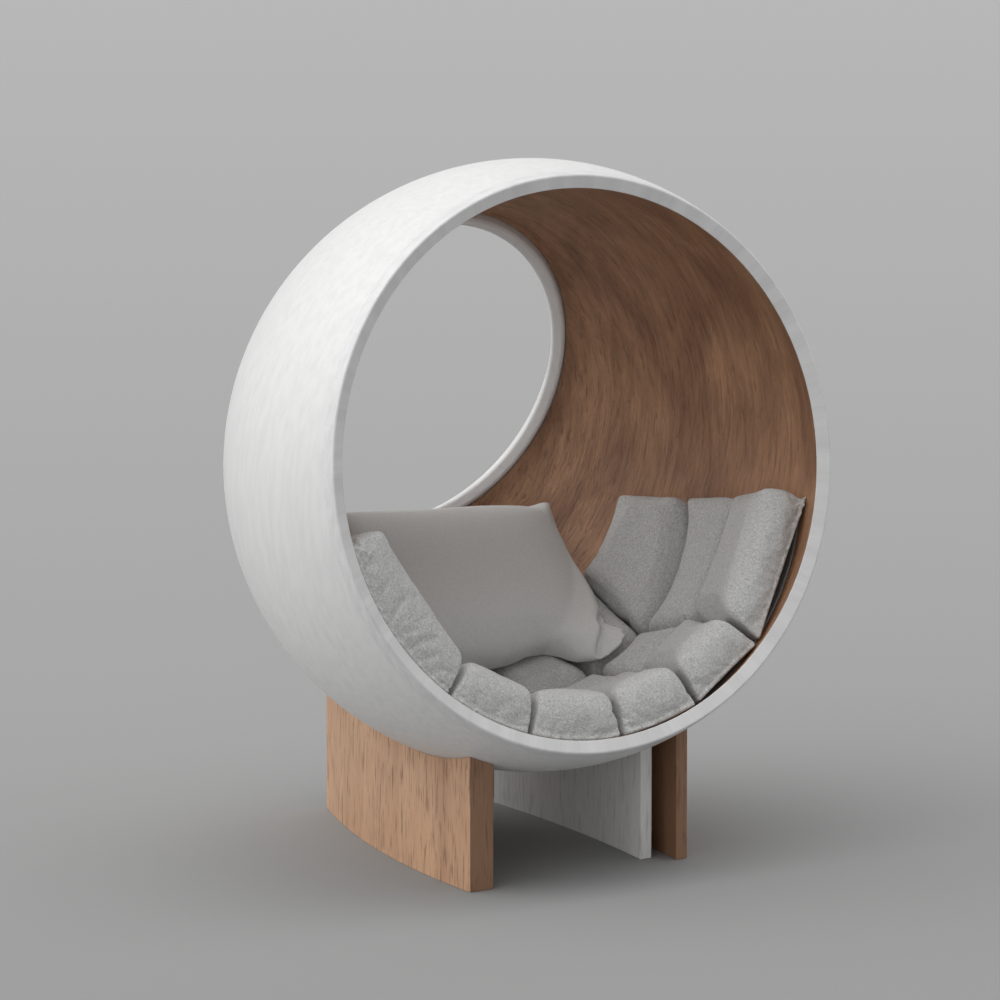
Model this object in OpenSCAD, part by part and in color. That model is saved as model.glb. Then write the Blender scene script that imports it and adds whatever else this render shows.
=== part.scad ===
// Pod chair: a spherical shell with a large front mouth and a small rear window, carried by bowed
// wooden panels, with a quilted seat mat and a loose pillow inside. Millimetres, +Z up, front to -Y.
// The origin is on the floor, under the middle of the chair's box.

/* [Shell] */
// Outside diameter of the spherical shell
shell_d = 1400; // [1300:10:1500]
// Height of the shell's lowest point over the floor
shell_clearance = 220; // [180:5:280]
// Whole thickness of the wall, lining included
wall_t = 33; // [30:1:40]
// Thickness of the wood lining
lining_t = 12; // [8:1:14]
// Diameter of the front mouth at the outside
mouth_d = 1314; // [1240:2:1330]
// Angle by which the mouth's top leans back
mouth_lean = 12; // [8:1:14]
// Diameter of the rear window at the outside
window_d = 800; // [700:10:860]
// Angle by which the window's top leans forward
window_lean = 12; // [8:1:14]

/* [Hoops] */
// Width of the front hoop along the mouth's axis
front_hoop_w = 27; // [20:1:34]
// Width of the front hoop's lip, which covers the lining's edge
front_lip_w = 4; // [3:0.5:6]
// Width of the rear hoop along the shell
rear_hoop_w = 34; // [26:1:40]
// Height of the rear hoop over the lining
rear_hoop_proud = 20; // [10:1:26]
// Shadow groove between the rear hoop and the lining
shadow_groove = 3; // [2:0.5:5]
// Rounding of the hoops' edges
hoop_round = 5; // [2:0.5:6]
// Rounding of the rear hoop's proud edges
rear_hoop_round = 9; // [5:0.5:11]

/* [Legs] */
// Overall width of the base at its widest
leg_stance = 593; // [540:2:620]
// Radius of the legs' outer faces in plan
leg_bow_r = 2000; // [1700:20:2600]
// Distance of the legs' widest place ahead of the shell's centre
leg_bow_ahead = 55; // [20:1:90]
// Distance of the legs' front ends ahead of the shell's centre
leg_ahead = 214; // [190:2:230]
// Distance of the legs' rear ends behind the shell's centre
leg_behind = 603; // [560:2:610]
// Thickness of the left leg
left_leg_t = 61; // [54:1:70]
// Thickness of the right leg
right_leg_t = 29; // [26:1:34]
// Thickness of the inner panel
inner_panel_t = 29; // [26:1:34]
// Gap between the right leg and the inner panel at its widest
panel_gap = 39.5; // [36:0.5:48]
// Radius of the inner panel's outer face in plan
inner_bow_r = 3030; // [2700:10:3600]
// Distance of the inner panel's widest place behind the shell's centre
inner_bow_behind = 28; // [10:1:60]
// Distance of the inner panel's front end ahead of the shell's centre
inner_ahead = 170; // [150:2:200]
// Distance of the inner panel's rear end behind the shell's centre
inner_behind = 440; // [400:2:450]

/* [Fixings] */
// Diameter of the shell bolts
bolt_d = 8; // [6:1:9]
// Length of the threaded inserts
insert_len = 28; // [20:1:32]
// Outside diameter of the threaded inserts
insert_d = 12; // [11:0.5:13]
// Outside diameter of the washers
washer_d = 24; // [20:1:26]
// Thickness of the washers
washer_t = 2; // [1.5:0.1:2.5]
// Diameter of the rail dowels
dowel_d = 8; // [6:1:10]
// Length of a dowel inside each panel
dowel_bite = 14; // [10:1:18]
// Thickness of the foot glides
glide_t = 4; // [3:0.5:6]
// Height of the glides under the feet
glide_proud = 1; // [0.8:0.1:2]

/* [Seat mat] */
// Thickness of the front row's stuffed segments
front_pad_t = 120; // [90:1:124]
// Thickness of the other segments
pad_t = 102; // [80:1:106]
// Width of the sewn seams between the segments
seam_w = 4; // [3:0.5:8]
// Thickness of the cloth that the segments are sewn to
backing_t = 1.5; // [1:0.1:2]
// Length along the bowl from its lowest line up to the mat's outer end
mat_reach = 980; // [910:2:990]

/* [Pillow] */
// Width of the pillow
pillow_w = 600; // [500:10:620]
// Height of the pillow
pillow_h = 430; // [380:10:440]
// Thickness of the pillow
pillow_t = 150; // [110:5:160]
// Angle of the pillow's back under the horizontal
pillow_lean = 42; // [36:1:48]
// Turn of the pillow in its own plane
pillow_turn = 6; // [0:1:8]

/* [Hidden] */
$fn = 128;

// Clearances: a glued joint, a scribed or resting seat, a running fit, and the overrun of a cut
glue_gap = 0.2;
seat_gap = 0.3;
fit_gap = 0.1;
overrun = 5;

// The shell's radii, from outside to inside, and its centre
shell_r = shell_d / 2;
inner_r = shell_r - wall_t;
lining_r = inner_r + lining_t;
skin_r = lining_r + glue_gap;
mouth_angle = asin(mouth_d / shell_d);
window_angle = asin(window_d / shell_d);
front_most = -shell_r * cos(mouth_angle - mouth_lean);
rear_most = shell_r * cos(window_angle - window_lean);
shell_centre = [0, -(front_most + rear_most) / 2, shell_clearance + shell_r];

// Planes across the mouth's axis where the front hoop meets the skin and the lining
hoop_skin_h = shell_r * cos(mouth_angle) - front_hoop_w;
hoop_wood_h = inner_r * cos(mouth_angle) - front_lip_w;

// Angles from the window's axis that the rear hoop and its groove take up
function spread(length) = length / shell_r * 180 / PI;
window_hoop_angle = window_angle + spread(rear_hoop_w);
window_wood_angle = window_hoop_angle + spread(shadow_groove);
round_steps = 5;

// Feet: the wood ends above the floor by what the glides stand proud
foot_z = glide_proud - shell_centre.z;
leg_run = leg_ahead + leg_behind;
leg_bow_x = leg_stance / 2 - leg_bow_r;
inner_bow_x = leg_stance / 2 - right_leg_t - panel_gap - inner_bow_r;
bow_facets = 360;

// The rail between the right leg and the inner panel, and the block near the panel's rear end
rail_front = -100;
rail_len = 280;
rail_foot = 40;
spacer_len = 70;
spacer_inset = 35;
dowel_shares = [0.12, 0.5, 0.88];
dowel_height = 130;

// Shell bolts: places along the left leg and along the rail, and sizes that the bolt's size sets
leg_bolt_shares = [0.16, 0.4, 0.64];
rail_bolt_shares = [0.14, 0.8];
leg_bolt_inset = 21;
rail_bolt_inset = 8;
bolt_head_d = 1.75 * bolt_d;
bolt_head_h = 0.55 * bolt_d;
bolt_key_d = 0.6 * bolt_d;
bolt_clearance = 0.4;
spot_depth = 1;
recess_d = washer_d + 4 * fit_gap + bolt_clearance;
spot_r = skin_r + spot_depth;
head_r = spot_r - washer_t;
insert_set = 3;
insert_r = shell_r + seat_gap + insert_set;
bolt_tip_r = insert_r + insert_len - insert_set;

// Foot glides: places along each panel, and their diameters as shares of the panels' thickness
glide_shares = [0.08, 0.92];
glide_width_share = 0.66;

// Seat mat: the seams' places along each row's edge as shares of the reach, and the edges' angles back
mat_r = inner_r - 2 * seat_gap - backing_t;
mat_reach_angle = mat_reach / mat_r * 180 / PI;
seam_shares = [
    [-1.00, -0.522, -0.252, 0.044, 0.300, 0.552, 0.942],
    [-0.89, -0.498, -0.225, 0.034, 0.312, 0.537, 0.864],
    [-0.84, -0.449, -0.215, 0.024, 0.264, 0.444, 0.815],
    [-0.78, -0.478, -0.200, 0.024, 0.249, 0.488, 0.757]];
last_column = len(seam_shares[0]) - 2;
row_floor_angles = [-6, 7.5, 32.5];
row_rise_angles = [6, 12, 4];
row_full_angle = 75;
mat_front_set = 2;
mat_rise_angle = 4.5;
end_splay_angle = 4;
pad_power = 14;
pillow_power = 4;
pad_steps = 8;
tall_pad_steps = 12;
backing_set = 12;
backing_back_share = 0.52;
backing_top_share = 0.31;
backing_slope_angle = 12;

// Pillow: its place along its own plane, and how its outline draws in between the corners
pillow_shift = [22, -68];
pillow_draw_share = 0.045;
pillow_taper_share = 0.14;
pillow_steps = [14, 10];
pillow_rest_gap = 0.4;
pillow_back_room = 16;
pillow_edge_room = 12;
pillow_r = mat_r - pad_t - pillow_rest_gap;
pillow_depth = pillow_r - pillow_t / 2 - pillow_back_room;
pillow_edge_r = pillow_r - pillow_edge_room;

// Unit vector, and points of a hoop's profile by their angle or their height
function unit(v) = v / norm(v);
function polar(radius, angle) = radius * [sin(angle), cos(angle)];
function at_height(radius, height) = [sqrt(pow(radius, 2) - pow(height, 2)), height];

// Arc that rounds the corner b between a and c
function round_corner(a, b, c, radius) =
    let (to_a = unit(a - b), to_c = unit(c - b), half = acos(to_a * to_c) / 2)
    let (middle = b + unit(to_a + to_c) * radius / sin(half), run = radius / tan(half))
    let (start = b + to_a * run - middle, stop = b + to_c * run - middle)
    let (first = atan2(start.y, start.x), turn = atan2(stop.y, stop.x) - first)
    let (sweep = (turn + 540) % 360 - 180)
    [for (k = [0:round_steps]) middle + polar(radius, 90 - first - sweep * k / round_steps)];

// Outline with each corner rounded by its own radius, or left sharp at zero
function rounded(points, radii) = let (n = len(points)) [
    for (k = [0:n - 1], p = radii[k] > 0
        ? round_corner(points[(k + n - 1) % n], points[k], points[(k + 1) % n], radii[k])
        : [points[k]]) p];

// Distance from the middle plane of a bowed face at y
function bow_x(radius, centre_x, centre_y, y) = centre_x + sqrt(pow(radius, 2) - pow(y - centre_y, 2));
function leg_outer_x(y) = bow_x(leg_bow_r, leg_bow_x, -leg_bow_ahead, y);
function left_inner_x(y) = bow_x(leg_bow_r - left_leg_t, leg_bow_x, -leg_bow_ahead, y);
function right_inner_x(y) = bow_x(leg_bow_r - right_leg_t, leg_bow_x, -leg_bow_ahead, y);
function panel_outer_x(y) = bow_x(inner_bow_r, inner_bow_x, inner_bow_behind, y);

// Places of the shell bolts in plan
leg_bolt_spots = [for (share = leg_bolt_shares) let (y = share * leg_run - leg_ahead)
    [-left_inner_x(y) - leg_bolt_inset, y]];
rail_bolt_spots = [for (share = rail_bolt_shares) let (y = rail_front + share * rail_len)
    [(right_inner_x(y) + panel_outer_x(y)) / 2 - rail_bolt_inset, y]];

// Closed surface between two grids of points that share their border
module quilted(top, bottom) {
    m = len(top) - 1;
    n = len(top[0]) - 1;
    function above(i, j) = i * (n + 1) + j;
    function below(i, j) = i == 0 || i == m || j == 0 || j == n
        ? above(i, j)
        : (m + 1) * (n + 1) + (i - 1) * (n - 1) + j - 1;
    points = concat([for (row = top, p = row) p],
        [for (i = [1:m - 1], j = [1:n - 1]) bottom[i][j]]);
    faces = [for (i = [0:m - 1], j = [0:n - 1]) let (even = (i < m / 2) == (j < n / 2))
        each even
            ? [[above(i, j), above(i + 1, j + 1), above(i, j + 1)],
               [above(i, j), above(i + 1, j), above(i + 1, j + 1)],
               [below(i, j), below(i, j + 1), below(i + 1, j + 1)],
               [below(i, j), below(i + 1, j + 1), below(i + 1, j)]]
            : [[above(i, j), above(i + 1, j), above(i, j + 1)],
               [above(i + 1, j), above(i + 1, j + 1), above(i, j + 1)],
               [below(i, j), below(i, j + 1), below(i + 1, j)],
               [below(i + 1, j), below(i, j + 1), below(i + 1, j + 1)]]];
    polyhedron(points, faces);
}

// Everything is drawn about the shell's centre and put in place by this
module in_place() translate(shell_centre) children();

// Turns +Z onto the mouth's axis, the window's axis, or the ray through a place in plan
module to_mouth() rotate([90 - mouth_lean, 0, 0]) children();
module to_window() rotate([window_lean - 90, 0, 0]) children();
module to_spot(spot) {
    ray = [spot.x, spot.y, -sqrt(pow(shell_r, 2) - pow(norm(spot), 2))];
    rotate([0, acos(ray.z / shell_r), atan2(ray.y, ray.x)]) children();
}

// Everything ahead of a plane across the axis
module beyond(height) translate([0, 0, height]) cylinder(r = shell_r + overrun, h = shell_r);

// Spherical wall between two radii, turned about the window's axis and cut by the mouth's plane
module wall(outer, inner, front_h, rear_angle) {
    reach = 2 * shell_r;
    difference() {
        to_window() rotate_extrude() intersection() {
            difference() {
                circle(r = outer);
                circle(r = inner);
            }
            polygon([[0, 0], polar(reach, rear_angle), [reach, -reach], [0, -reach]]);
        }
        to_mouth() beyond(front_h);
    }
}

module outer_shell() {
    color([0.93, 0.93, 0.92]) in_place() difference() {
        wall(shell_r, skin_r, hoop_skin_h - glue_gap, window_hoop_angle + spread(glue_gap));
        for (spot = concat(leg_bolt_spots, rail_bolt_spots)) {
            to_spot(spot) {
                cylinder(d = recess_d, h = spot_r);
                cylinder(d = bolt_d + bolt_clearance, h = shell_r + overrun);
            }
        }
    }
}

module wood_lining() {
    color([0.45, 0.31, 0.23]) in_place() difference() {
        wall(lining_r, inner_r, hoop_wood_h - glue_gap, window_wood_angle);
        for (spot = concat(leg_bolt_spots, rail_bolt_spots)) {
            to_spot(spot) cylinder(d = recess_d, h = shell_r);
        }
    }
}

module front_hoop() {
    outline = [polar(inner_r, mouth_angle), polar(shell_r, mouth_angle),
        at_height(shell_r, hoop_skin_h), at_height(skin_r, hoop_skin_h),
        at_height(skin_r, hoop_wood_h), at_height(inner_r, hoop_wood_h)];
    radii = [front_lip_w / 2, hoop_round, 0, 0, 0, 0];
    color([0.86, 0.86, 0.85]) in_place() to_mouth() rotate_extrude() polygon(rounded(outline, radii));
}

module rear_hoop() {
    proud_r = inner_r - rear_hoop_proud;
    outline = [polar(proud_r, window_angle), polar(shell_r, window_angle),
        polar(shell_r, window_hoop_angle), polar(proud_r, window_hoop_angle)];
    radii = [rear_hoop_round, hoop_round, 0, rear_hoop_round];
    color([0.93, 0.93, 0.92]) in_place() to_window() rotate_extrude() polygon(rounded(outline, radii));
}

// Upright slab between two bowed faces, from a foot height up into the sphere
module bowed_slab(solid_r, solid_x, solid_y, hollow_r, hollow_x, hollow_y, front, back, foot) {
    height = -foot;
    intersection() {
        translate([solid_x, solid_y, foot]) cylinder(r = solid_r, h = height, $fn = bow_facets);
        difference() {
            translate([0, front, foot]) cube([leg_stance, back - front, height]);
            translate([hollow_x, hollow_y, foot - overrun]) {
                cylinder(r = hollow_r, h = height + 2 * overrun, $fn = bow_facets);
            }
        }
    }
}

// Bowed panel of even thickness
module bowed_panel(radius, centre_x, centre_y, thickness, front, back) {
    bowed_slab(radius, centre_x, centre_y, radius - thickness, centre_x, centre_y, front, back, foot_z);
}

// The space that the shell takes out of whatever is scribed to it
module shell_seat() sphere(r = shell_r + seat_gap);

// Holes for the inserts and the tips of the bolts
module insert_holes(spots) {
    for (spot = spots) {
        to_spot(spot) {
            cylinder(d = bolt_d + bolt_clearance, h = bolt_tip_r + fit_gap + insert_set);
            translate([0, 0, shell_r]) cylinder(d = insert_d + 2 * fit_gap, h = insert_r + insert_len - shell_r);
        }
    }
}

// Places of the glides under a bowed panel, and one glide's solid
function glide_spots(front, back, outer, thickness) = [for (share = glide_shares)
    let (y = front + share * (back - front)) [outer(y) - thickness / 2, y]];
left_glides = glide_spots(-leg_ahead, leg_behind, function (y) leg_outer_x(y), left_leg_t);
right_glides = glide_spots(-leg_ahead, leg_behind, function (y) leg_outer_x(y), right_leg_t);
inner_glides = glide_spots(-inner_ahead, inner_behind, function (y) panel_outer_x(y), inner_panel_t);

module glides(spots, thickness, gap = 0) {
    for (spot = spots) {
        translate([spot.x, spot.y, foot_z - glide_proud]) {
            cylinder(d = thickness * glide_width_share + 2 * gap, h = glide_t + gap);
        }
    }
}

// Dowels across the rail, from inside one panel to inside the other
module dowels(gap = 0) {
    for (share = dowel_shares) {
        y = rail_front + share * rail_len;
        start = panel_outer_x(y) - dowel_bite - gap;
        translate([start, y, foot_z + dowel_height]) rotate([0, 90, 0]) {
            cylinder(d = dowel_d + 2 * gap, h = right_inner_x(y) + dowel_bite + gap - start);
        }
    }
}

module left_leg() {
    color([0.60, 0.45, 0.35]) in_place() difference() {
        mirror([1, 0, 0]) difference() {
            bowed_panel(leg_bow_r, leg_bow_x, -leg_bow_ahead, left_leg_t, -leg_ahead, leg_behind);
            glides(left_glides, left_leg_t, fit_gap);
        }
        shell_seat();
        insert_holes(leg_bolt_spots);
    }
}

module right_leg() {
    color([0.60, 0.45, 0.35]) in_place() difference() {
        bowed_panel(leg_bow_r, leg_bow_x, -leg_bow_ahead, right_leg_t, -leg_ahead, leg_behind);
        shell_seat();
        glides(right_glides, right_leg_t, fit_gap);
        dowels(fit_gap);
    }
}

module inner_panel() {
    color([0.72, 0.72, 0.71]) in_place() difference() {
        bowed_panel(inner_bow_r, inner_bow_x, inner_bow_behind, inner_panel_t, -inner_ahead, inner_behind);
        shell_seat();
        glides(inner_glides, inner_panel_t, fit_gap);
        dowels(fit_gap);
    }
}

// Block that fills the gap between the inner panel and the right leg
module gap_block(front, back) {
    difference() {
        bowed_slab(leg_bow_r - right_leg_t - glue_gap, leg_bow_x, -leg_bow_ahead,
            inner_bow_r + glue_gap, inner_bow_x, inner_bow_behind, front, back, foot_z + rail_foot);
        shell_seat();
    }
}

module leg_rail() {
    color([0.50, 0.36, 0.27]) in_place() difference() {
        gap_block(rail_front, rail_front + rail_len);
        insert_holes(rail_bolt_spots);
        dowels(fit_gap);
    }
}

module rear_spacer() {
    back = inner_behind - spacer_inset;
    color([0.50, 0.36, 0.27]) in_place() gap_block(back - spacer_len, back);
}

module rail_dowels() {
    color([0.80, 0.67, 0.50]) in_place() dowels();
}

module shell_bolts() {
    color([0.60, 0.60, 0.62]) in_place() for (spot = concat(leg_bolt_spots, rail_bolt_spots)) {
        to_spot(spot) difference() {
            translate([0, 0, head_r - bolt_head_h]) {
                cylinder(d = bolt_head_d, h = bolt_head_h);
                cylinder(d = bolt_d, h = bolt_tip_r - head_r + bolt_head_h);
            }
            translate([0, 0, head_r - bolt_head_h - overrun]) {
                cylinder(d = bolt_key_d, h = overrun + bolt_head_h / 2, $fn = 6);
            }
        }
    }
}

module bolt_washers() {
    color([0.70, 0.70, 0.72]) in_place() for (spot = concat(leg_bolt_spots, rail_bolt_spots)) {
        to_spot(spot) translate([0, 0, head_r]) difference() {
            cylinder(d = washer_d, h = washer_t);
            translate([0, 0, -overrun]) cylinder(d = bolt_d + bolt_clearance, h = washer_t + 2 * overrun);
        }
    }
}

module leg_inserts() {
    color([0.72, 0.60, 0.35]) in_place() for (spot = concat(leg_bolt_spots, rail_bolt_spots)) {
        to_spot(spot) translate([0, 0, insert_r]) difference() {
            cylinder(d = insert_d, h = insert_len);
            translate([0, 0, -overrun]) cylinder(d = bolt_d + 2 * fit_gap, h = insert_len + 2 * overrun);
        }
    }
}

module foot_glides() {
    color([0.20, 0.20, 0.20]) in_place() {
        mirror([1, 0, 0]) glides(left_glides, left_leg_t);
        glides(right_glides, right_leg_t);
        glides(inner_glides, inner_panel_t);
    }
}

// Point of the bowl at an angle round from its lowest line, an angle back and a radius
function bowl(around, back, radius) =
    radius * [cos(back) * sin(around), sin(back), -cos(back) * cos(around)];

// Angle back of the mat's front face, a plane across the mouth, at an angle round the bowl and a radius
function face_back(around, radius) =
    let (a = cos(mouth_lean), b = cos(around) * sin(mouth_lean))
    let (height = inner_r * cos(mouth_angle) - mat_front_set)
    asin(-height / radius / norm([a, b])) - atan2(b, a);

// Edges of the rows of segments, the first drawn back towards its right end, and of the columns
function row_edge(row, around, radius) = row == 0
    ? face_back(around, radius) + mat_rise_angle * pow(max(around, 0) / mat_reach_angle, 6)
    : row_floor_angles[row - 1] + row_rise_angles[row - 1] * pow(abs(around) / row_full_angle, 3);
function column_edge(row, column, v) =
    mat_reach_angle * lerp(seam_shares[row][column], seam_shares[row + 1][column], v);

// Fullness of a stuffed form across its width, from 0 at a seam to 1 in the middle
function fullness(share, power) = sqrt(max(1 - pow(abs(2 * share - 1), power), 0));

// Places of a grid's lines, closer together near the seams, and a value between two others
function grid_share(k, cells) = (1 - cos(180 * k / cells)) / 2;
function lerp(a, b, share) = a + (b - a) * share;

// Thickness of a segment between edges: the front row's have flat tops across the bowl's curve
function pad_height(row, u, left, right) = row == 0
    ? front_pad_t + (mat_r - front_pad_t) * (1 - cos((right - left) / 2)) * (1 - pow(2 * u - 1, 2))
    : pad_t;

// Segment of the mat in a row and a column, as a grid of points at a share of its full height
function pad_point(row, column, u, v, height) =
    let (left = column_edge(row, column, v), right = column_edge(row, column + 1, v))
    let (full = height * fullness(u, pad_power) * fullness(v, pad_power))
    let (radius = mat_r - full * pad_height(row, u, left, right))
    let (first = column == 0 ? left - end_splay_angle * full : left)
    let (last = column == last_column ? right + end_splay_angle * full : right)
    let (margin = seam_w / 2 / mat_r * 180 / PI, around = lerp(first, last, u))
    let (back = lerp(row_edge(row, around, radius) + margin, row_edge(row + 1, around, radius) - margin, v))
    let (side_margin = margin / cos(back))
    bowl(lerp(first + side_margin, last - side_margin, u), back, radius);

module pad(row, column) {
    cells = column == 0 || column == last_column ? tall_pad_steps : pad_steps;
    top = [for (i = [0:cells]) [for (j = [0:pad_steps])
        pad_point(row, column, grid_share(i, cells), grid_share(j, pad_steps), 1)]];
    bottom = [for (i = [0:cells]) [for (j = [0:pad_steps])
        pad_point(row, column, grid_share(i, cells), grid_share(j, pad_steps), 0)]];
    color([0.66, 0.66, 0.64]) in_place() quilted(top, bottom);
}

module mat_backing() {
    color([0.50, 0.50, 0.49]) in_place() difference() {
        sphere(r = inner_r - seat_gap);
        sphere(r = inner_r - seat_gap - backing_t);
        to_mouth() beyond(hoop_wood_h - backing_set);
        translate([-shell_r, inner_r * backing_back_share, -shell_r]) cube(shell_d);
        translate([0, 0, -inner_r * backing_top_share]) rotate([-backing_slope_angle, 0, 0]) {
            translate([-shell_r, -shell_r, 0]) cube(shell_d);
        }
    }
}

// Point of the pillow's middle surface, which lies in a plane and curls up where the bowl is near
function pillow_middle(u, v) =
    let (half_w = pillow_w / 2 * (1 - pillow_taper_share * (v + 1) / 2))
    let (p = half_w * u * (1 - pillow_draw_share * (1 - v * v)))
    let (q = pillow_h / 2 * v * (1 - pillow_draw_share * (1 - u * u)))
    let (x = p * cos(pillow_turn) + q * sin(pillow_turn) + pillow_shift.x)
    let (y = q * cos(pillow_turn) - p * sin(pillow_turn) + pillow_shift.y)
    [x, y, min(pillow_depth, sqrt(pow(pillow_edge_r, 2) - x * x - y * y))];

// The same point moved off the middle surface, and held inside the padded bowl
function pillow_point(u, v, side) =
    let (m = pillow_middle(u, v), lean = pillow_lean)
    let (full = fullness((u + 1) / 2, pillow_power) * fullness((v + 1) / 2, pillow_power))
    let (depth = m.z + side * pillow_t / 2 * full)
    let (p = [m.x, m.y * sin(lean) + depth * cos(lean), m.y * cos(lean) - depth * sin(lean)])
    norm(p) > pillow_r ? p * pillow_r / norm(p) : p;

module back_pillow() {
    us = [for (k = [0:pillow_steps.x]) 2 * grid_share(k, pillow_steps.x) - 1];
    vs = [for (k = [0:pillow_steps.y]) 2 * grid_share(k, pillow_steps.y) - 1];
    face = [for (u = us) [for (v = vs) pillow_point(u, v, -1)]];
    rear = [for (u = us) [for (v = vs) pillow_point(u, v, 1)]];
    color([0.62, 0.62, 0.60]) in_place() quilted(face, rear);
}

outer_shell();
wood_lining();
front_hoop();
rear_hoop();
left_leg();
right_leg();
inner_panel();
leg_rail();
rear_spacer();
rail_dowels();
shell_bolts();
bolt_washers();
leg_inserts();
foot_glides();
mat_backing();
for (column = [0:last_column]) {
    pad(0, column);
    pad(1, column);
    pad(2, column);
}
back_pillow();
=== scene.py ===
import bpy
import numpy as np
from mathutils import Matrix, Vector


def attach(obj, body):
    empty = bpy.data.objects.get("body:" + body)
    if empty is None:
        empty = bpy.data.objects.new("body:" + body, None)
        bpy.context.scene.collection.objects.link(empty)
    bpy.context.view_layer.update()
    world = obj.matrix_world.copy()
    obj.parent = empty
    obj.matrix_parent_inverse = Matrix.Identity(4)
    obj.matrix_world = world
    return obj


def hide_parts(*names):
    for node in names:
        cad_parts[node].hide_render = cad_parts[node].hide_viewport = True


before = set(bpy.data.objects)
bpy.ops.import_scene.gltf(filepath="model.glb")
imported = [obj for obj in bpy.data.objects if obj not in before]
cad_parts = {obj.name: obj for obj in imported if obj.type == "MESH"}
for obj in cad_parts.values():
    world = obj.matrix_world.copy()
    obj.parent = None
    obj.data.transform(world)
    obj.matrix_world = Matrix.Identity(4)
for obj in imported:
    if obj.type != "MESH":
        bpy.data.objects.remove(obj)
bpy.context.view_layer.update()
scene = bpy.context.scene
scene.view_settings.view_transform = "Standard"
print("frame loaded:", len(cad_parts), "nodes")

# The bowl that everything is set out in: the shell's centre, its inside radius and the mouth's lean
shell = {"centre": (0, -0.13605, 0.92), "inside": 0.667, "lean": 12}
shellCentre = np.array(shell["centre"])


# Helpers for meshes

# A piece from rows of points and lists of faces, riding on the chair's one body
def makePiece(name, points, faces, replaced=None):
    mesh = bpy.data.meshes.new(name)
    mesh.from_pydata(points.tolist(), [], faces.tolist())
    mesh.polygons.foreach_set("use_smooth", np.ones(len(mesh.polygons), bool))
    piece = bpy.data.objects.new(name, mesh)
    scene.collection.objects.link(piece)
    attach(piece, "root")
    if replaced:
        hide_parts(replaced)
    return piece


# The corner points of a piece's mesh as one array
def meshPoints(mesh):
    points = np.zeros(len(mesh.vertices) * 3)
    mesh.vertices.foreach_get("co", points)
    return points.reshape(-1, 3)


def setPoints(mesh, points):
    mesh.vertices.foreach_set("co", points.ravel())
    mesh.update()


# Bakes a piece's modifiers into its mesh
def applyModifiers(piece):
    depsgraph = bpy.context.evaluated_depsgraph_get()
    baked = bpy.data.meshes.new_from_object(piece.evaluated_get(depsgraph), depsgraph=depsgraph)
    old = piece.data
    piece.modifiers.clear()
    piece.data = baked
    bpy.data.meshes.remove(old)
    baked.name = piece.name
    baked.polygons.foreach_set("use_smooth", np.ones(len(baked.polygons), bool))


# Faces that close two grids of the same size into one skin, along the border of the first, whose points
# come first
def closedFaces(rows, columns):
    index = np.arange(rows * columns).reshape(rows, columns)
    under = index + rows * columns
    under[0], under[-1], under[:, 0], under[:, -1] = index[0], index[-1], index[:, 0], index[:, -1]
    top = np.stack([index[:-1, :-1], index[1:, :-1], index[1:, 1:], index[:-1, 1:]], -1).reshape(-1, 4)
    bottom = np.stack([under[:-1, :-1], under[:-1, 1:], under[1:, 1:], under[1:, :-1]], -1).reshape(-1, 4)
    return np.concatenate([top, bottom])


# Points of the top's grid and then of the bottom's, as closedFaces counts them
def bothSides(top, bottom):
    return np.concatenate([top.reshape(-1, 3), bottom.reshape(-1, 3)])


# Helpers for materials

# A node with its settings, its inputs being values or other nodes' sockets
def addNode(tree, kind, inputs=None, **settings):
    made = tree.nodes.new("ShaderNode" + kind)
    for key, value in settings.items():
        setattr(made, key, value)
    for key, value in (inputs or {}).items():
        if isinstance(value, bpy.types.NodeSocket):
            tree.links.new(value, made.inputs[key])
        else:
            made.inputs[key].default_value = value
    return made


def calc(tree, operation, a, b=0.0):
    return addNode(tree, "Math", {0: a, 1: b}, operation=operation).outputs[0]


def noise(tree, vector, scale, detail=3.0, roughness=0.5, distortion=0.0):
    inputs = {
        "Vector": vector, "Scale": scale, "Detail": detail, "Roughness": roughness, "Distortion": distortion,
    }
    return addNode(tree, "TexNoise", inputs).outputs["Fac"]


def stretched(tree, vector, factors):
    return addNode(tree, "VectorMath", {0: vector, 1: factors}, operation="MULTIPLY").outputs[0]


def dotted(tree, vector, other):
    return addNode(tree, "VectorMath", {0: vector, 1: other}, operation="DOT_PRODUCT").outputs["Value"]


def apart(tree, vector):
    return addNode(tree, "SeparateXYZ", {0: vector}).outputs


# Colours or greys along a value from 0 to 1
def ramp(tree, value, stops):
    made = addNode(tree, "ValToRGB", {"Fac": value})
    elements = made.color_ramp.elements
    while len(elements) < len(stops):
        elements.new(1.0)
    for element, (place, colour) in zip(elements, stops):
        element.position = place
        element.color = (colour, colour, colour, 1) if isinstance(colour, float) else (*colour, 1)
    return made.outputs["Color"]


# The second colour laid over the first where the factor is high
def mixed(tree, factor, a, b):
    made = addNode(tree, "Mix", data_type="RGBA")
    for socket, value in zip([made.inputs[0], made.inputs[6], made.inputs[7]], [factor, a, b]):
        if isinstance(value, bpy.types.NodeSocket):
            tree.links.new(value, socket)
        else:
            socket.default_value = (*value, 1)
    return made.outputs[2]


# A material with its shader set, its node tree, its shader and the piece's own coordinates
def startMaterial(name, roughness, specular=0.5, sheen=0.0):
    material = bpy.data.materials.new(name)
    material.use_nodes = True
    tree = material.node_tree
    shader = tree.nodes["Principled BSDF"]
    shader.inputs["Roughness"].default_value = roughness
    shader.inputs["Specular IOR Level"].default_value = specular
    shader.inputs["Sheen Weight"].default_value = sheen
    place = addNode(tree, "TexCoord").outputs["Object"]
    return material, tree, shader, place


def addBump(tree, shader, height, strength, distance):
    bump = addNode(tree, "Bump", {"Height": height, "Strength": strength, "Distance": distance})
    tree.links.new(bump.outputs["Normal"], shader.inputs["Normal"])


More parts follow.
